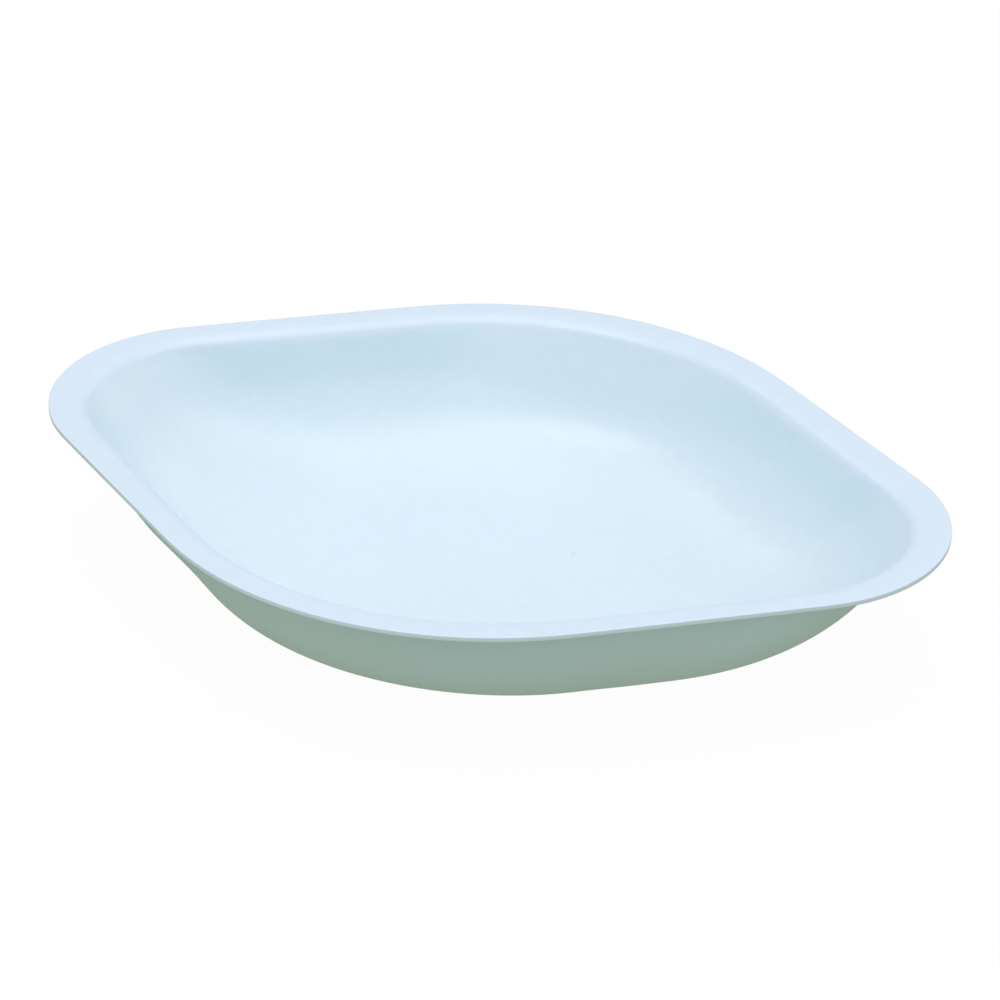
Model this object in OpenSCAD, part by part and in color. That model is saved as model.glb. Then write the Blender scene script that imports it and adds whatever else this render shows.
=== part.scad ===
// Diamond weighing boat, 30 mL class: one piece of polystyrene sheet, vacuum-formed over a male
// tool and die-cut round its rim. A flat flange turns over a small lip into walls that stand steep
// along the four sides and lean back at the two pouring tips, then run through a wide cove into a
// dished floor with a flat middle that the boat stands on.
//
// Frame: millimetres, +X towards a pouring tip, +Y towards a side corner, +Z up.
// Origin: on the bench, below the middle of the boat.

/* [Overall size] */
// Length over the rim, from pouring tip to pouring tip (X)
boat_l = 85; // [60:1:140]
// Width over the rim, from side corner to side corner (Y)
boat_w = 65; // [45:1:110]
// Height of the rim above the bench
boat_h = 14; // [8:0.5:25]

/* [Sheet] */
// Thickness of the sheet, as it shows on the cut edge of the rim
sheet_t = 0.4; // [0.2:0.05:0.8]
// Thickness left on the floor, where the sheet is drawn thinnest
floor_t = 0.3; // [0.15:0.05:0.8]

/* [Rim] */
// Radius of the rim at the two pouring tips
tip_r = 15.8; // [10:0.2:20]
// Radius of the rim at the two side corners
side_r = 30.8; // [15:0.2:40]
// Width of the flange, out to out, to the sharp corner where flange and wall would meet
flange_w = 3.2; // [2:0.1:5]
// Radius of the lip that turns the flange down into the wall
lip_r = 1.6; // [0.8:0.1:3]

/* [Well] */
// How far the foot of the wall stands in from the rim at a pouring tip
tip_inset = 9.7; // [7:0.1:14]
// How far the foot of the wall stands in from the rim at a side corner
side_inset = 6.7; // [5:0.1:10]
// Radius of the wall's foot below a pouring tip
foot_tip_r = 18.5; // [8:0.1:22]
// Radius of the wall's foot below a side corner
foot_side_r = 32.6; // [12:0.2:42]
// Rise of the dished floor, from its flat middle to the foot of the wall
dish_h = 4.4; // [2:0.1:6]
// Radius of the cove between wall and floor at a side corner
cove_r = 7.8; // [3:0.2:14]
// Radius of the cove at a pouring tip, where it sweeps up to pour
cove_tip_r = 17.6; // [6:0.2:30]
// Run of the dish below a pouring tip, from the foot of the wall in to the flat middle
dish_run = 12.8; // [6:0.2:18]
// Radius that eases the dish of the floor into its flat middle
dish_r = 26; // [8:1:40]

/* [Fineness] */
// Steps round a pouring tip
tip_steps = 20; // [10:1:28]
// Steps round a side corner
side_steps = 16; // [8:1:24]
// Steps along each straight side
edge_steps = 5; // [2:1:8]
// Steps over the cove (the lip takes two fewer, the ease into the flat half as many)
cove_steps = 8; // [4:1:12]

/* [Hidden] */
half_l = boat_l / 2;
half_w = boat_w / 2;
depth = boat_h - floor_t; // from the top of the rim to the inside of the flat floor
foot_l = half_l - tip_inset;
foot_w = half_w - side_inset;
fill = 0.97; // most of a length that an arc or a run may take up
cove_end = 0.6; // how far over the dish, from the wall's foot, the cove may reach
flat_scale = 1 - min(dish_run / foot_l, fill); // flat middle, as a share of the foot's loop
lip_steps = cove_steps - 2;
ease_steps = ceil(cove_steps / 2);
polystyrene = [0.86, 0.92, 0.96];

function unit(v) = v / norm(v);
function dir(a) = [cos(a), sin(a)];
function mix(a, b, k) = a + (b - a) * k;
function raised(p, z) = [p.x, p.y, z];

// Direction, from +X, in which the straight side of a rounded diamond faces: the common tangent of
// the tip circle and the side-corner circle.
function facing(a, b, ra, rb) =
    let (ca = a - ra, cb = b - rb) acos((rb - ra) / norm([ca, cb])) - atan2(cb, ca);

// Largest side-corner radius that still leaves the diamond a straight side.
function widest(a, b, ra) = (pow(a - ra, 2) + b * b - ra * ra) / (2 * (b - ra));

// Rounded diamond with half-axes a and b, as a loop of [point, outward normal] stations. Loops of
// different sizes have their stations in step, so they can be joined one to one. A corner's radius
// is limited by the sides that it rounds, as a fillet is by its walls.
function diamond(a, b, tip_radius, side_radius) =
    let (
        ra = min(tip_radius, fill * a, fill * b),
        rb = min(side_radius, fill * widest(a, b, ra)),
        f = facing(a, b, ra, rb),
        centres = [[a - ra, 0], [0, b - rb], [ra - a, 0], [0, rb - b]],
        starts = [-f, f, 180 - f, 180 + f, 360 - f]
    ) [
        for (q = [0:3])
            let (
                tip = q % 2 == 0,
                r = tip ? ra : rb,
                n = tip ? tip_steps : side_steps,
                sweep = starts[q + 1] - starts[q],
                last = centres[q] + r * dir(starts[q + 1]),
                next = centres[(q + 1) % 4] + (tip ? rb : ra) * dir(starts[q + 1])
            ) each concat(
                [for (i = [0:n]) let (d = dir(starts[q] + sweep * i / n)) [centres[q] + r * d, d]],
                [for (i = [1:edge_steps - 1]) [mix(last, next, i / edge_steps), dir(starts[q + 1])]]
            )
    ];

// Arc of n steps that rounds the corner b of the path a-b-c with radius r, or with the largest
// radius that the two legs leave room for.
function rounded(a, b, c, r, n) =
    let (
        u = unit(a - b),
        v = unit(c - b),
        turn = 180 - acos(u * v),
        cut = min(r * tan(turn / 2), fill * norm(a - b), fill * norm(c - b)),
        rr = cut / tan(turn / 2),
        inward = unit(u + v),
        along = unit(v - u),
        centre = b + inward * rr / cos(turn / 2)
    ) [
        for (i = [0:n])
            let (k = turn * (i / n - 1 / 2)) centre + rr * (along * sin(k) - inward * cos(k))
    ];

// One rib of the top surface, from the cut edge over the flange, lip, wall, cove and dish to the
// edge of the flat middle. The corners it turns at lie on four loops, one inside another.
function rib(rim, foot) =
    let (
        edge = raised(rim[0], boat_h),
        lip = raised(rim[0] - flange_w * rim[1], boat_h),
        toe = raised(foot[0], floor_t + dish_h),
        flat = raised(foot[0] * flat_scale, floor_t),
        tipness = pow(rim[0].x / half_l, 2),
        lip_arc = rounded(edge, lip, toe, lip_r, lip_steps),
        lip_end = lip_arc[lip_steps],
        dish = mix(toe, flat, cove_end),
        cove_arc = rounded(lip_end, toe, dish, mix(cove_r, cove_tip_r, tipness), cove_steps),
        ease_arc = rounded(dish, flat, [0, 0, floor_t], dish_r, ease_steps)
    ) concat([edge], lip_arc, [mix(lip_end, cove_arc[0], 1 / 2)], cove_arc, ease_arc);

// Direction square to a grid of ribs at rib i, place j, pointing up and into the well.
function grid_normal(ribs, i, j) =
    let (
        n = len(ribs),
        m = len(ribs[0]),
        round_way = ribs[(i + 1) % n][j] - ribs[(i + n - 1) % n][j],
        in_way = ribs[i][min(j + 1, m - 1)] - ribs[i][max(j - 1, 0)]
    ) unit(cross(round_way, in_way));

// Thickness of the sheet at height z: full on the rim, drawn thinner the deeper it lies.
function sheet_at(z) = mix(floor_t, sheet_t, (z - floor_t) / depth);

// Closed shell: the top surface from the ribs, the same surface sunk by the sheet's thickness, and
// the cut edge that joins them round the rim.
module sheet_shell(ribs) {
    n = len(ribs);
    m = len(ribs[0]);
    top = [for (i = [0:n - 1]) for (j = [0:m - 1]) ribs[i][j]];
    under = [
        for (i = [0:n - 1])
            for (j = [0:m - 1])
                let (p = ribs[i][j], flat = j == 0 || j == m - 1)
                    p - sheet_at(p.z) * (flat ? [0, 0, 1] : grid_normal(ribs, i, j))
    ];
    middle = [[0, 0, floor_t], [0, 0, 0]];
    function at(i, j) = (i % n) * m + j;
    skin = [
        for (i = [0:n - 1])
            for (j = [0:m - 2])
                each [
                    [at(i, j), at(i, j + 1), at(i + 1, j)],
                    [at(i + 1, j), at(i, j + 1), at(i + 1, j + 1)],
                ]
    ];
    floor_fan = [for (i = [0:n - 1]) [at(i, m - 1), 2 * n * m, at(i + 1, m - 1)]];
    cut_edge = [
        for (i = [0:n - 1])
            each [
                [at(i, 0), at(i + 1, 0), at(i, 0) + n * m],
                [at(i + 1, 0), at(i + 1, 0) + n * m, at(i, 0) + n * m],
            ]
    ];
    function sunk(t) = [for (k = [2, 1, 0]) t[k] < 2 * n * m ? t[k] + n * m : t[k] + 1];
    polyhedron(
        points = concat(top, under, middle),
        faces = concat(
            skin,
            floor_fan,
            cut_edge,
            [for (t = skin) sunk(t)],
            [for (t = floor_fan) sunk(t)]
        )
    );
}

// The whole boat.
module boat() {
    rim = diamond(half_l, half_w, tip_r, side_r);
    foot = diamond(foot_l, foot_w, foot_tip_r, foot_side_r);
    color(polystyrene) sheet_shell([for (i = [0:len(rim) - 1]) rib(rim[i], foot[i])]);
}

boat();
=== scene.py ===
"""A diamond weighing boat of formed polystyrene sheet, standing on a pale studio floor."""

import logging
import math
from dataclasses import dataclass, field

import bmesh
import bpy
from bpy.types import ID, Material, Mesh, Node, NodeSocket, NodeTree, Object
from mathutils import Matrix, Vector


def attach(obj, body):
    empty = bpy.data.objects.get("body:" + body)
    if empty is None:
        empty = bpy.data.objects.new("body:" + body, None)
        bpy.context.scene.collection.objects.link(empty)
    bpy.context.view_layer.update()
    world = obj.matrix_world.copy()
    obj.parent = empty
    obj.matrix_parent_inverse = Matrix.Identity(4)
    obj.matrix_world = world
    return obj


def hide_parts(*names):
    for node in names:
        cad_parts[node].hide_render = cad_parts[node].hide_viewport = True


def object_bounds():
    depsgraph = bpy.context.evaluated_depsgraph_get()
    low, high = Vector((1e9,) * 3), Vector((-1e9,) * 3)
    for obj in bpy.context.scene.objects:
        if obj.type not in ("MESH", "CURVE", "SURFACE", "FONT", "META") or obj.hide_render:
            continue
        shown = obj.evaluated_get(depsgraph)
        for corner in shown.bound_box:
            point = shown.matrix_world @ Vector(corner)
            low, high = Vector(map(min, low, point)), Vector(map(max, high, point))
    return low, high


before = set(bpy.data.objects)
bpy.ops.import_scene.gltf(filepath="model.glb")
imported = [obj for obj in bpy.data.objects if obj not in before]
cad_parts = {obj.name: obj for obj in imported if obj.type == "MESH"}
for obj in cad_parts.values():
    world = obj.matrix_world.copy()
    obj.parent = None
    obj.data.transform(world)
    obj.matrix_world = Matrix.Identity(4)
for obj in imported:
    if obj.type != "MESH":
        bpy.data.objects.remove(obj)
CAD_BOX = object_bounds()

LOG = logging.getLogger("weighing_boat")
MM = 0.001
CUT_EDGE = "cut_edge"
WALL_SHADE_SHARE = "drawn"
WHITE = "#ffffff"

Colour = tuple[float, float, float, float]


def linear(hex_colour: str) -> Colour:
    """Turns an sRGB hex colour into the linear colour that a shader socket takes.

    Args:
        hex_colour: Six hex digits after a #, such as "#d8e9f8".

    Returns:
        Red, green, blue and an alpha of 1, from 0 to 1.
    """
    codes = (int(hex_colour[i : i + 2], 16) / 255 for i in (1, 3, 5))
    red, green, blue = (
        c / 12.92 if c <= 0.04045 else ((c + 0.055) / 1.055) ** 2.4 for c in codes
    )
    return red, green, blue, 1.0


def direction(azimuth: float, elevation: float) -> Vector:
    """Works out the direction from the boat to a camera or lamp.

    Args:
        azimuth: Degrees round from -Y, where the viewer looks along +Y, towards +X.
        elevation: Degrees above the floor.

    Returns:
        A unit vector.
    """
    a, e = math.radians(azimuth), math.radians(elevation)
    return Vector((math.sin(a) * math.cos(e), -math.cos(a) * math.cos(e), math.sin(e)))


def add_object(name: str, data: ID) -> Object:
    """Makes an object and puts it in the scene, at the origin.

    Args:
        name: The object's name.
        data: Its mesh, lamp or camera.

    Returns:
        The new object.
    """
    made = bpy.data.objects.new(name, data)
    bpy.context.scene.collection.objects.link(made)
    return made


def add_node(
    tree: NodeTree,
    kind: str,
    settings: dict[str, str] | None = None,
    **inputs: NodeSocket | Colour | Vector | float,
) -> Node:
    """Adds a node, with its settings and its links.

    Args:
        tree: The tree that the node joins.
        kind: The node's type, such as "ShaderNodeMix".
        settings: Attributes of the node, by name.
        **inputs: The link or the value of each input, by the input's name in lower case with _
            for a space. An input that shares its name with another is called input_number.

    Returns:
        The new node.
    """
    node = tree.nodes.new(kind)
    for name, value in (settings or {}).items():
        setattr(node, name, value)
    sockets = {s.name.lower().replace(" ", "_"): s for s in reversed(node.inputs)}
    sockets |= {f"input_{i}": s for i, s in enumerate(node.inputs)}
    for name, source in inputs.items():
        if isinstance(source, NodeSocket):
            tree.links.new(source, sockets[name])
        else:
            sockets[name].default_value = source
    return node


@dataclass(frozen=True)
class SatinPolystyrene:
    """Vacuum-formed high-impact polystyrene sheet: dense, pale and blue-white, with the soft satin
    that the tool leaves on it, so lights show as broad, dim patches and never as sharp ones. The
    steep walls carry a painted greener shade, the rim a painted bluer light, and the die's cut is
    rougher than the skin. One dark fleck is caught in the floor."""

    name: str = "satin_polystyrene_sheet"
    sheet: str = "#dbeaf6"
    cloud: str = "#d7e8f4"
    # Painted shade: the greener tint of bounced light on the steep walls, laid on by steepness.
    wall_shade: str = "#d7ebf5"
    # Painted light: the rim is tinted bluer, as the light from above makes it look.
    rim_light: str = "#d5e5f7"
    cut: str = "#e0f0ff"
    fleck: str = "#c3d2d6"

    # The pigment drifts in tone over about 14 mm, as it streams when the sheet is extruded.
    cloud_mm: float = 14.0
    cloud_detail: float = 3.0
    cloud_harshness: float = 0.5

    # The lip turns down over the top 1.6 mm, and the rim's painted bluer light comes in along that
    # turn.
    rim_light_from_mm: float = 12.4
    rim_light_full_mm: float = 13.7

    # Lumps of rubber and pigment in the sheet are about 0.1 mm across. That is too fine to show
    # where the whole boat is in view, so the mottle is drawn at 1.2 mm, by 2% either way.
    mottle_mm: float = 1.2
    mottle_detail: float = 1.0
    mottle_share: float = 0.02

    # The fleck is a speck of burnt resin, about half a millimetre across.
    fleck_at_mm: tuple[float, float, float] = (4.6, 9.9, 0.3)
    fleck_mm: float = 0.55

    # The blasted tool prints a grain of about 0.05 mm. That is too fine to show as well, so it
    # is drawn at 0.35 mm, and only 4 micrometres deep, so that it dulls the gloss and no more.
    grain_mm: float = 0.35
    grain_detail: float = 2.0
    grain_harshness: float = 0.6
    grain_depth_mm: float = 0.004

    roughness: float = 0.33
    roughness_swing: float = 0.05
    cut_roughness: float = 0.6
    ior: float = 1.59

    # A little light goes about 0.6 mm into the sheet, and its blue part less far.
    glow_share: float = 0.05
    glow_mm: float = 0.6
    glow_reach: tuple[float, float, float] = (1.0, 0.9, 0.8)

    def material(self) -> Material:
        """Makes the material.

        Returns:
            The material, with one Principled shader.
        """
        material = bpy.data.materials.new(self.name)
        material.use_nodes = True
        tree = material.node_tree
        place = add_node(tree, "ShaderNodeTexCoord").outputs["Object"]
        cut = add_node(tree, "ShaderNodeAttribute", {"attribute_name": CUT_EDGE}).outputs["Fac"]
        grain = add_node(
            tree,
            "ShaderNodeTexNoise",
            vector=place,
            scale=1 / (self.grain_mm * MM),
            detail=self.grain_detail,
            roughness=self.grain_harshness,
        ).outputs["Fac"]
        bump = add_node(
            tree,
            "ShaderNodeBump",
            strength=1.0,
            distance=self.grain_depth_mm * MM,
            height=grain,
        )
        colour = self.marked(tree, place, cut, self.skin(tree, place))
        shader = tree.nodes["Principled BSDF"]
        shader.inputs["IOR"].default_value = self.ior
        shader.inputs["Subsurface Weight"].default_value = self.glow_share
        shader.inputs["Subsurface Radius"].default_value = self.glow_reach
        shader.inputs["Subsurface Scale"].default_value = self.glow_mm * MM
        tree.links.new(colour, shader.inputs["Base Color"])
        tree.links.new(self.sheen(tree, cut, grain), shader.inputs["Roughness"])
        tree.links.new(bump.outputs[0], shader.inputs["Normal"])
        return material

    def skin(self, tree: NodeTree, place: NodeSocket) -> NodeSocket:
        """Colours the skin: clouded, mottled, with painted wall shade and painted rim light.

        Args:
            tree: The material's tree.
            place: The point's place on the boat.

        Returns:
            The skin's colour.
        """
        clouds = add_node(
            tree,
            "ShaderNodeTexNoise",
            vector=place,
            scale=1 / (self.cloud_mm * MM),
            detail=self.cloud_detail,
            roughness=self.cloud_harshness,
        )
        # Painted shade: the steep walls are tinted greener, as they look in the bounced light.
        drawn = add_node(tree, "ShaderNodeAttribute", {"attribute_name": WALL_SHADE_SHARE})
        height = add_node(tree, "ShaderNodeSeparateXYZ", vector=place)
        # Painted light: the rim's bluer tint fades in with height.
        rim_light_share = add_node(
            tree,
            "ShaderNodeMapRange",
            {"interpolation_type": "SMOOTHSTEP"},
            value=height.outputs["Z"],
            from_min=self.rim_light_from_mm * MM,
            from_max=self.rim_light_full_mm * MM,
        )
        tone: Colour | NodeSocket = linear(self.sheet)
        for share, colour in (
            (clouds.outputs["Fac"], self.cloud),
            (drawn.outputs["Fac"], self.wall_shade),
            (rim_light_share.outputs[0], self.rim_light),
        ):
            tone = add_node(
                tree,
                "ShaderNodeMix",
                {"data_type": "RGBA"},
                factor=share,
                input_6=tone,
                input_7=linear(colour),
            ).outputs[2]
        mottle = add_node(
            tree,
            "ShaderNodeTexNoise",
            vector=place,
            scale=1 / (self.mottle_mm * MM),
            detail=self.mottle_detail,
        )
        light_and_dark = add_node(
            tree,
            "ShaderNodeMapRange",
            value=mottle.outputs["Fac"],
            to_min=1 - self.mottle_share,
            to_max=1 + self.mottle_share,
        )
        return add_node(
            tree, "ShaderNodeHueSaturation", value=light_and_dark.outputs[0], color=tone
        ).outputs[0]

    def marked(
        self, tree: NodeTree, place: NodeSocket, cut: NodeSocket, skin: NodeSocket
    ) -> NodeSocket:
        """Colours the cut edge and the fleck over the skin.

        Args:
            tree: The material's tree.
            place: The point's place on the boat.
            cut: 1 on the cut edge and 0 elsewhere.
            skin: The skin's colour.

        Returns:
            The colour of the whole sheet.
        """
        away = add_node(
            tree,
            "ShaderNodeVectorMath",
            {"operation": "DISTANCE"},
            input_0=place,
            input_1=Vector(self.fleck_at_mm) * MM,
        )
        in_fleck = add_node(
            tree,
            "ShaderNodeMapRange",
            {"interpolation_type": "SMOOTHSTEP"},
            value=away.outputs["Value"],
            from_min=self.fleck_mm / 2 * MM,
            from_max=0.0,
        )
        tone = skin
        for share, colour in ((cut, self.cut), (in_fleck.outputs[0], self.fleck)):
            tone = add_node(
                tree,
                "ShaderNodeMix",
                {"data_type": "RGBA"},
                factor=share,
                input_6=tone,
                input_7=linear(colour),
            ).outputs[2]
        return tone

    def sheen(self, tree: NodeTree, cut: NodeSocket, grain: NodeSocket) -> NodeSocket:
        """Makes the roughness: a satin that varies with the grain, and a duller cut.

        Args:
            tree: The material's tree.
            cut: 1 on the cut edge and 0 elsewhere.
            grain: The grain, from 0 to 1.

        Returns:
            The roughness.
        """
        skin = add_node(
            tree,
            "ShaderNodeMapRange",
            value=grain,
            to_min=self.roughness - self.roughness_swing,
            to_max=self.roughness + self.roughness_swing,
        )
        return add_node(
            tree,
            "ShaderNodeMapRange",
            value=cut,
            to_min=skin.outputs[0],
            to_max=self.cut_roughness,
        ).outputs[0]


@dataclass
class BoatShell:
    """The boat itself: the one formed sheet, from its die-cut rim to its floor."""

    name: str = "boat_sheet"
    node: str = "boat"
    slot: str = "polystyrene_sheet"
    finish: SatinPolystyrene = SatinPolystyrene()

    # The solid's triangles are joined in pairs that bend and skew less than this.
    merge_mm: float = 0.001
    join_bend: float = math.radians(40)
    join_skew: float = math.radians(60)
    smoothing: int = 1

    # The cut is the upright band within the sheet's thickness of the top.
    sheet_mm: float = 0.4
    cut_slope: float = 0.35

    # The die lands a little out of turn, drags the lower corner down and leaves both rounded.
    die_turn: float = math.radians(0.7)
    burr_mm: float = 0.05
    sharp_turn: float = math.radians(50)
    cut_round_mm: float = 0.05
    cut_round_steps: int = 2

    def build(self) -> Object:
        """Makes the sheet, dresses it and sets it on the part's body.

        Returns:
            The finished piece, in place of its solid.
        """
        piece = add_object(self.name, self.form())
        self.dress(piece)
        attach(piece, "root")
        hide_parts(self.node)
        return piece

    def form(self) -> Mesh:
        """Forms the sheet from a merged copy of its solid.

        Returns:
            The closed mesh, with its cut and its painted wall shade marked.
        """
        sheet = bmesh.new()
        sheet.from_mesh(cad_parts[self.node].data)
        bmesh.ops.remove_doubles(sheet, verts=sheet.verts, dist=self.merge_mm * MM)
        bmesh.ops.join_triangles(
            sheet,
            faces=sheet.faces,
            angle_face_threshold=self.join_bend,
            angle_shape_threshold=self.join_skew,
        )
        self.mark_the_cut(sheet)
        self.set_the_cut(sheet)
        self.round_the_cut(sheet)
        self.paint_wall_shade(sheet)
        for face in sheet.faces:
            face.smooth = True
        mesh = bpy.data.meshes.new(self.name)
        sheet.to_mesh(mesh)
        sheet.free()
        return mesh

    def dress(self, piece: Object) -> None:
        """Gives the sheet its finish and smooths its facets.

        Args:
            piece: The sheet's object.
        """
        piece.data.materials.append(self.finish.material())
        smooth = piece.modifiers.new("drawn_smooth", "SUBSURF")
        smooth.levels = smooth.render_levels = self.smoothing

    def mark_the_cut(self, sheet: bmesh.types.BMesh) -> None:
        """Marks the upright band that the die leaves round the rim, for its own finish.

        Args:
            sheet: The boat's closed mesh.
        """
        cut = sheet.faces.layers.float.new(CUT_EDGE)
        lowest = CAD_BOX[1].z - self.sheet_mm * MM
        for face in sheet.faces:
            upright = abs(face.normal.z) < self.cut_slope
            face[cut] = float(upright and face.calc_center_median().z > lowest)

    def set_the_cut(self, sheet: bmesh.types.BMesh) -> None:
        """Turns the cut a little round the well and draws its lower corner down, because the die
        never lands quite square on a formed sheet, and its stroke drags the edge.

        Args:
            sheet: The boat's closed mesh.
        """
        cut = sheet.faces.layers.float[CUT_EDGE]
        middle = CAD_BOX[1].z - self.sheet_mm / 2 * MM
        band = list({v for f in sheet.faces if f[cut] for v in f.verts})
        turned = Matrix.Rotation(self.die_turn, 3, "Z")
        bmesh.ops.rotate(sheet, verts=band, cent=(0.0, 0.0, 0.0), matrix=turned)
        lower = [v for v in band if v.co.z < middle]
        bmesh.ops.translate(sheet, verts=lower, vec=(0.0, 0.0, -self.burr_mm * MM))

    def round_the_cut(self, sheet: bmesh.types.BMesh) -> None:
        """Takes the edge off the two corners that the die leaves round the rim.

        Args:
            sheet: The boat's closed mesh.
        """
        corners = [e for e in sheet.edges if e.calc_face_angle(0.0) > self.sharp_turn]
        bmesh.ops.bevel(
            sheet,
            geom=corners,
            offset=self.cut_round_mm * MM,
            offset_type="OFFSET",
            segments=self.cut_round_steps,
            affect="EDGES",
            profile=0.5,
            material=-1,
            clamp_overlap=True,
        )

    def paint_wall_shade(self, sheet: bmesh.types.BMesh) -> None:
        """Marks the share of painted greener shade: none where level, most where steep.

        Args:
            sheet: The boat's closed mesh.
        """
        drawn = sheet.verts.layers.float.new(WALL_SHADE_SHARE)
        sheet.normal_update()
        for vert in sheet.verts:
            # Painted shade: the steeper the point, the more of the greener shade tint it gets.
            vert[drawn] = 1 - abs(vert.normal.z)


@dataclass(frozen=True)
class LightTable:
    """White acrylic lit from below and turned low. It lights the boat's underside evenly, and the
    camera sees it white with a faint shadow, because it glows more than it reflects."""

    name: str = "pale_floor"
    seen: str = WHITE
    lit: str = "#99a68c"
    seen_glow: float = 0.965

    def material(self) -> Material:
        """Makes the material.

        Returns:
            The material, with one light for the camera's rays and another for the boat's.
        """
        material = bpy.data.materials.new(self.name)
        material.use_nodes = True
        tree = material.node_tree
        tree.nodes.clear()
        grey = 1 - self.seen_glow
        path = add_node(tree, "ShaderNodeLightPath")
        lit = add_node(tree, "ShaderNodeEmission", color=linear(self.lit))
        faint = add_node(tree, "ShaderNodeBsdfDiffuse", color=(grey, grey, grey, 1.0))
        glow = add_node(
            tree, "ShaderNodeEmission", color=linear(self.seen), strength=self.seen_glow
        )
        seen = add_node(
            tree, "ShaderNodeAddShader", input_0=faint.outputs[0], input_1=glow.outputs[0]
        )
        either = add_node(
            tree,
            "ShaderNodeMixShader",
            input_0=path.outputs["Is Camera Ray"],
            input_1=lit.outputs[0],
            input_2=seen.outputs[0],
        )
        add_node(tree, "ShaderNodeOutputMaterial", surface=either.outputs[0])
        return material


@dataclass
class Lamp:
    """One soft box: an area light that faces the boat."""

    name: str
    azimuth: float
    elevation: float
    size: float
    watts: float
    distance: float = 0.8

    def build(self, target: Vector, colour: str) -> Object:
        """Hangs the lamp.

        Args:
            target: The point that it faces.
            colour: The colour of its light, in sRGB hex.

        Returns:
            The lamp's object.
        """
        data = bpy.data.lights.new(self.name, "AREA")
        data.shape = "DISK"
        data.size = self.size
        data.energy = self.watts
        data.color = linear(colour)[:3]
        lamp = add_object(self.name, data)
        back = direction(self.azimuth, self.elevation)
        lamp.location = target + back * self.distance
        lamp.rotation_mode = "QUATERNION"
        lamp.rotation_quaternion = back.to_track_quat("Z", "Y")
        return lamp


@dataclass
class Studio:
    """A plain pale floor, soft lamps and the light of the room."""

    floor: LightTable = LightTable()
    floor_size: float = 6.0
    room: str = "#c1c3c1"
    backdrop: str = WHITE
    lamp_white: str = "#fffefe"
    lamps: list[Lamp] = field(
        default_factory=lambda: [
            Lamp("overhead", azimuth=23.0, elevation=80.0, size=0.7, watts=1.76),
            Lamp("left_high", azimuth=-44.0, elevation=60.0, size=0.4, watts=0.95),
            Lamp("front", azimuth=23.0, elevation=25.0, size=0.5, watts=0.48),
            Lamp("right", azimuth=113.0, elevation=48.0, size=0.5, watts=0.70),
            Lamp("back_left", azimuth=-112.0, elevation=45.0, size=0.3, watts=0.27),
            Lamp("back_right", azimuth=158.0, elevation=25.0, size=0.5, watts=0.48),
            Lamp("back_high", azimuth=-157.0, elevation=70.0, size=0.3, watts=0.17),
        ]
    )

    def build(self, target: Vector) -> None:
        """Lays the floor, lights the room and hangs the lamps.

        Args:
            target: The point that the lamps face.
        """
        self.lay_floor()
        self.light_room()
        for lamp in self.lamps:
            lamp.build(target, self.lamp_white)

    def lay_floor(self) -> None:
        """Lays the floor that the boat stands on."""
        sheet = bmesh.new()
        bmesh.ops.create_grid(sheet, x_segments=1, y_segments=1, size=self.floor_size / 2)
        mesh = bpy.data.meshes.new("studio_floor")
        sheet.to_mesh(mesh)
        sheet.free()
        mesh.materials.append(self.floor.material())
        floor = add_object("studio_floor", mesh)

    def light_room(self) -> None:
        """Lights the room evenly, and shows white behind the boat."""
        world = bpy.data.worlds.new("studio_room")
        bpy.context.scene.world = world
        world.use_nodes = True
        tree = world.node_tree
        tree.nodes.clear()
        path = add_node(tree, "ShaderNodeLightPath")
        room = add_node(tree, "ShaderNodeBackground", color=linear(self.room), strength=1.0)
        white = add_node(tree, "ShaderNodeBackground", color=linear(self.backdrop), strength=1.0)
        either = add_node(
            tree,
            "ShaderNodeMixShader",
            input_0=path.outputs["Is Camera Ray"],
            input_1=room.outputs[0],
            input_2=white.outputs[0],
        )
        add_node(tree, "ShaderNodeOutputWorld", surface=either.outputs[0])


@dataclass
class Viewpoint:
    """The camera, aimed at the middle of the rim and shifted a little to frame the boat."""

    azimuth: float = 23.05
    elevation: float = 27.37
    roll: float = 1.49
    distance: float = 0.3435
    lens_mm: float = 138.15
    sensor_mm: float = 36.0
    shift: tuple[float, float] = (0.01137, -0.04329)
    nearest: float = 0.01
    farthest: float = 20.0

    def build(self, target: Vector) -> Object:
        """Sets up the camera.

        Args:
            target: The point that it faces.

        Returns:
            The camera, made the scene's own.
        """
        data = bpy.data.cameras.new("viewpoint")
        data.sensor_width = self.sensor_mm
        data.lens = self.lens_mm
        data.shift_x, data.shift_y = self.shift
        data.clip_start, data.clip_end = self.nearest, self.farthest
        camera = add_object("viewpoint", data)
        back = direction(self.azimuth, self.elevation)
        right = Vector((0, 0, 1)).cross(back).normalized()
        turned = Matrix((right, back.cross(right), back)).transposed()
        turned = turned @ Matrix.Rotation(math.radians(self.roll), 3, "Z")
        camera.rotation_mode = "QUATERNION"
        camera.rotation_quaternion = turned.to_quaternion()
        camera.location = target + back * self.distance
        bpy.context.scene.camera = camera
        return camera


def main() -> None:
    """Builds the camera, the boat and the studio."""
    logging.basicConfig(level=logging.INFO, format="%(name)s: %(message)s")
    low, high = CAD_BOX
    middle = (low + high) / 2
    rim_middle = Vector((middle.x, middle.y, high.z))
    Viewpoint().build(rim_middle)
    piece = BoatShell().build()
    LOG.info("built %s with %d faces", piece.name, len(piece.data.polygons))
    Studio().build(middle)
    bpy.context.scene.view_settings.view_transform = "Standard"


if __name__ == "__main__":
    main()
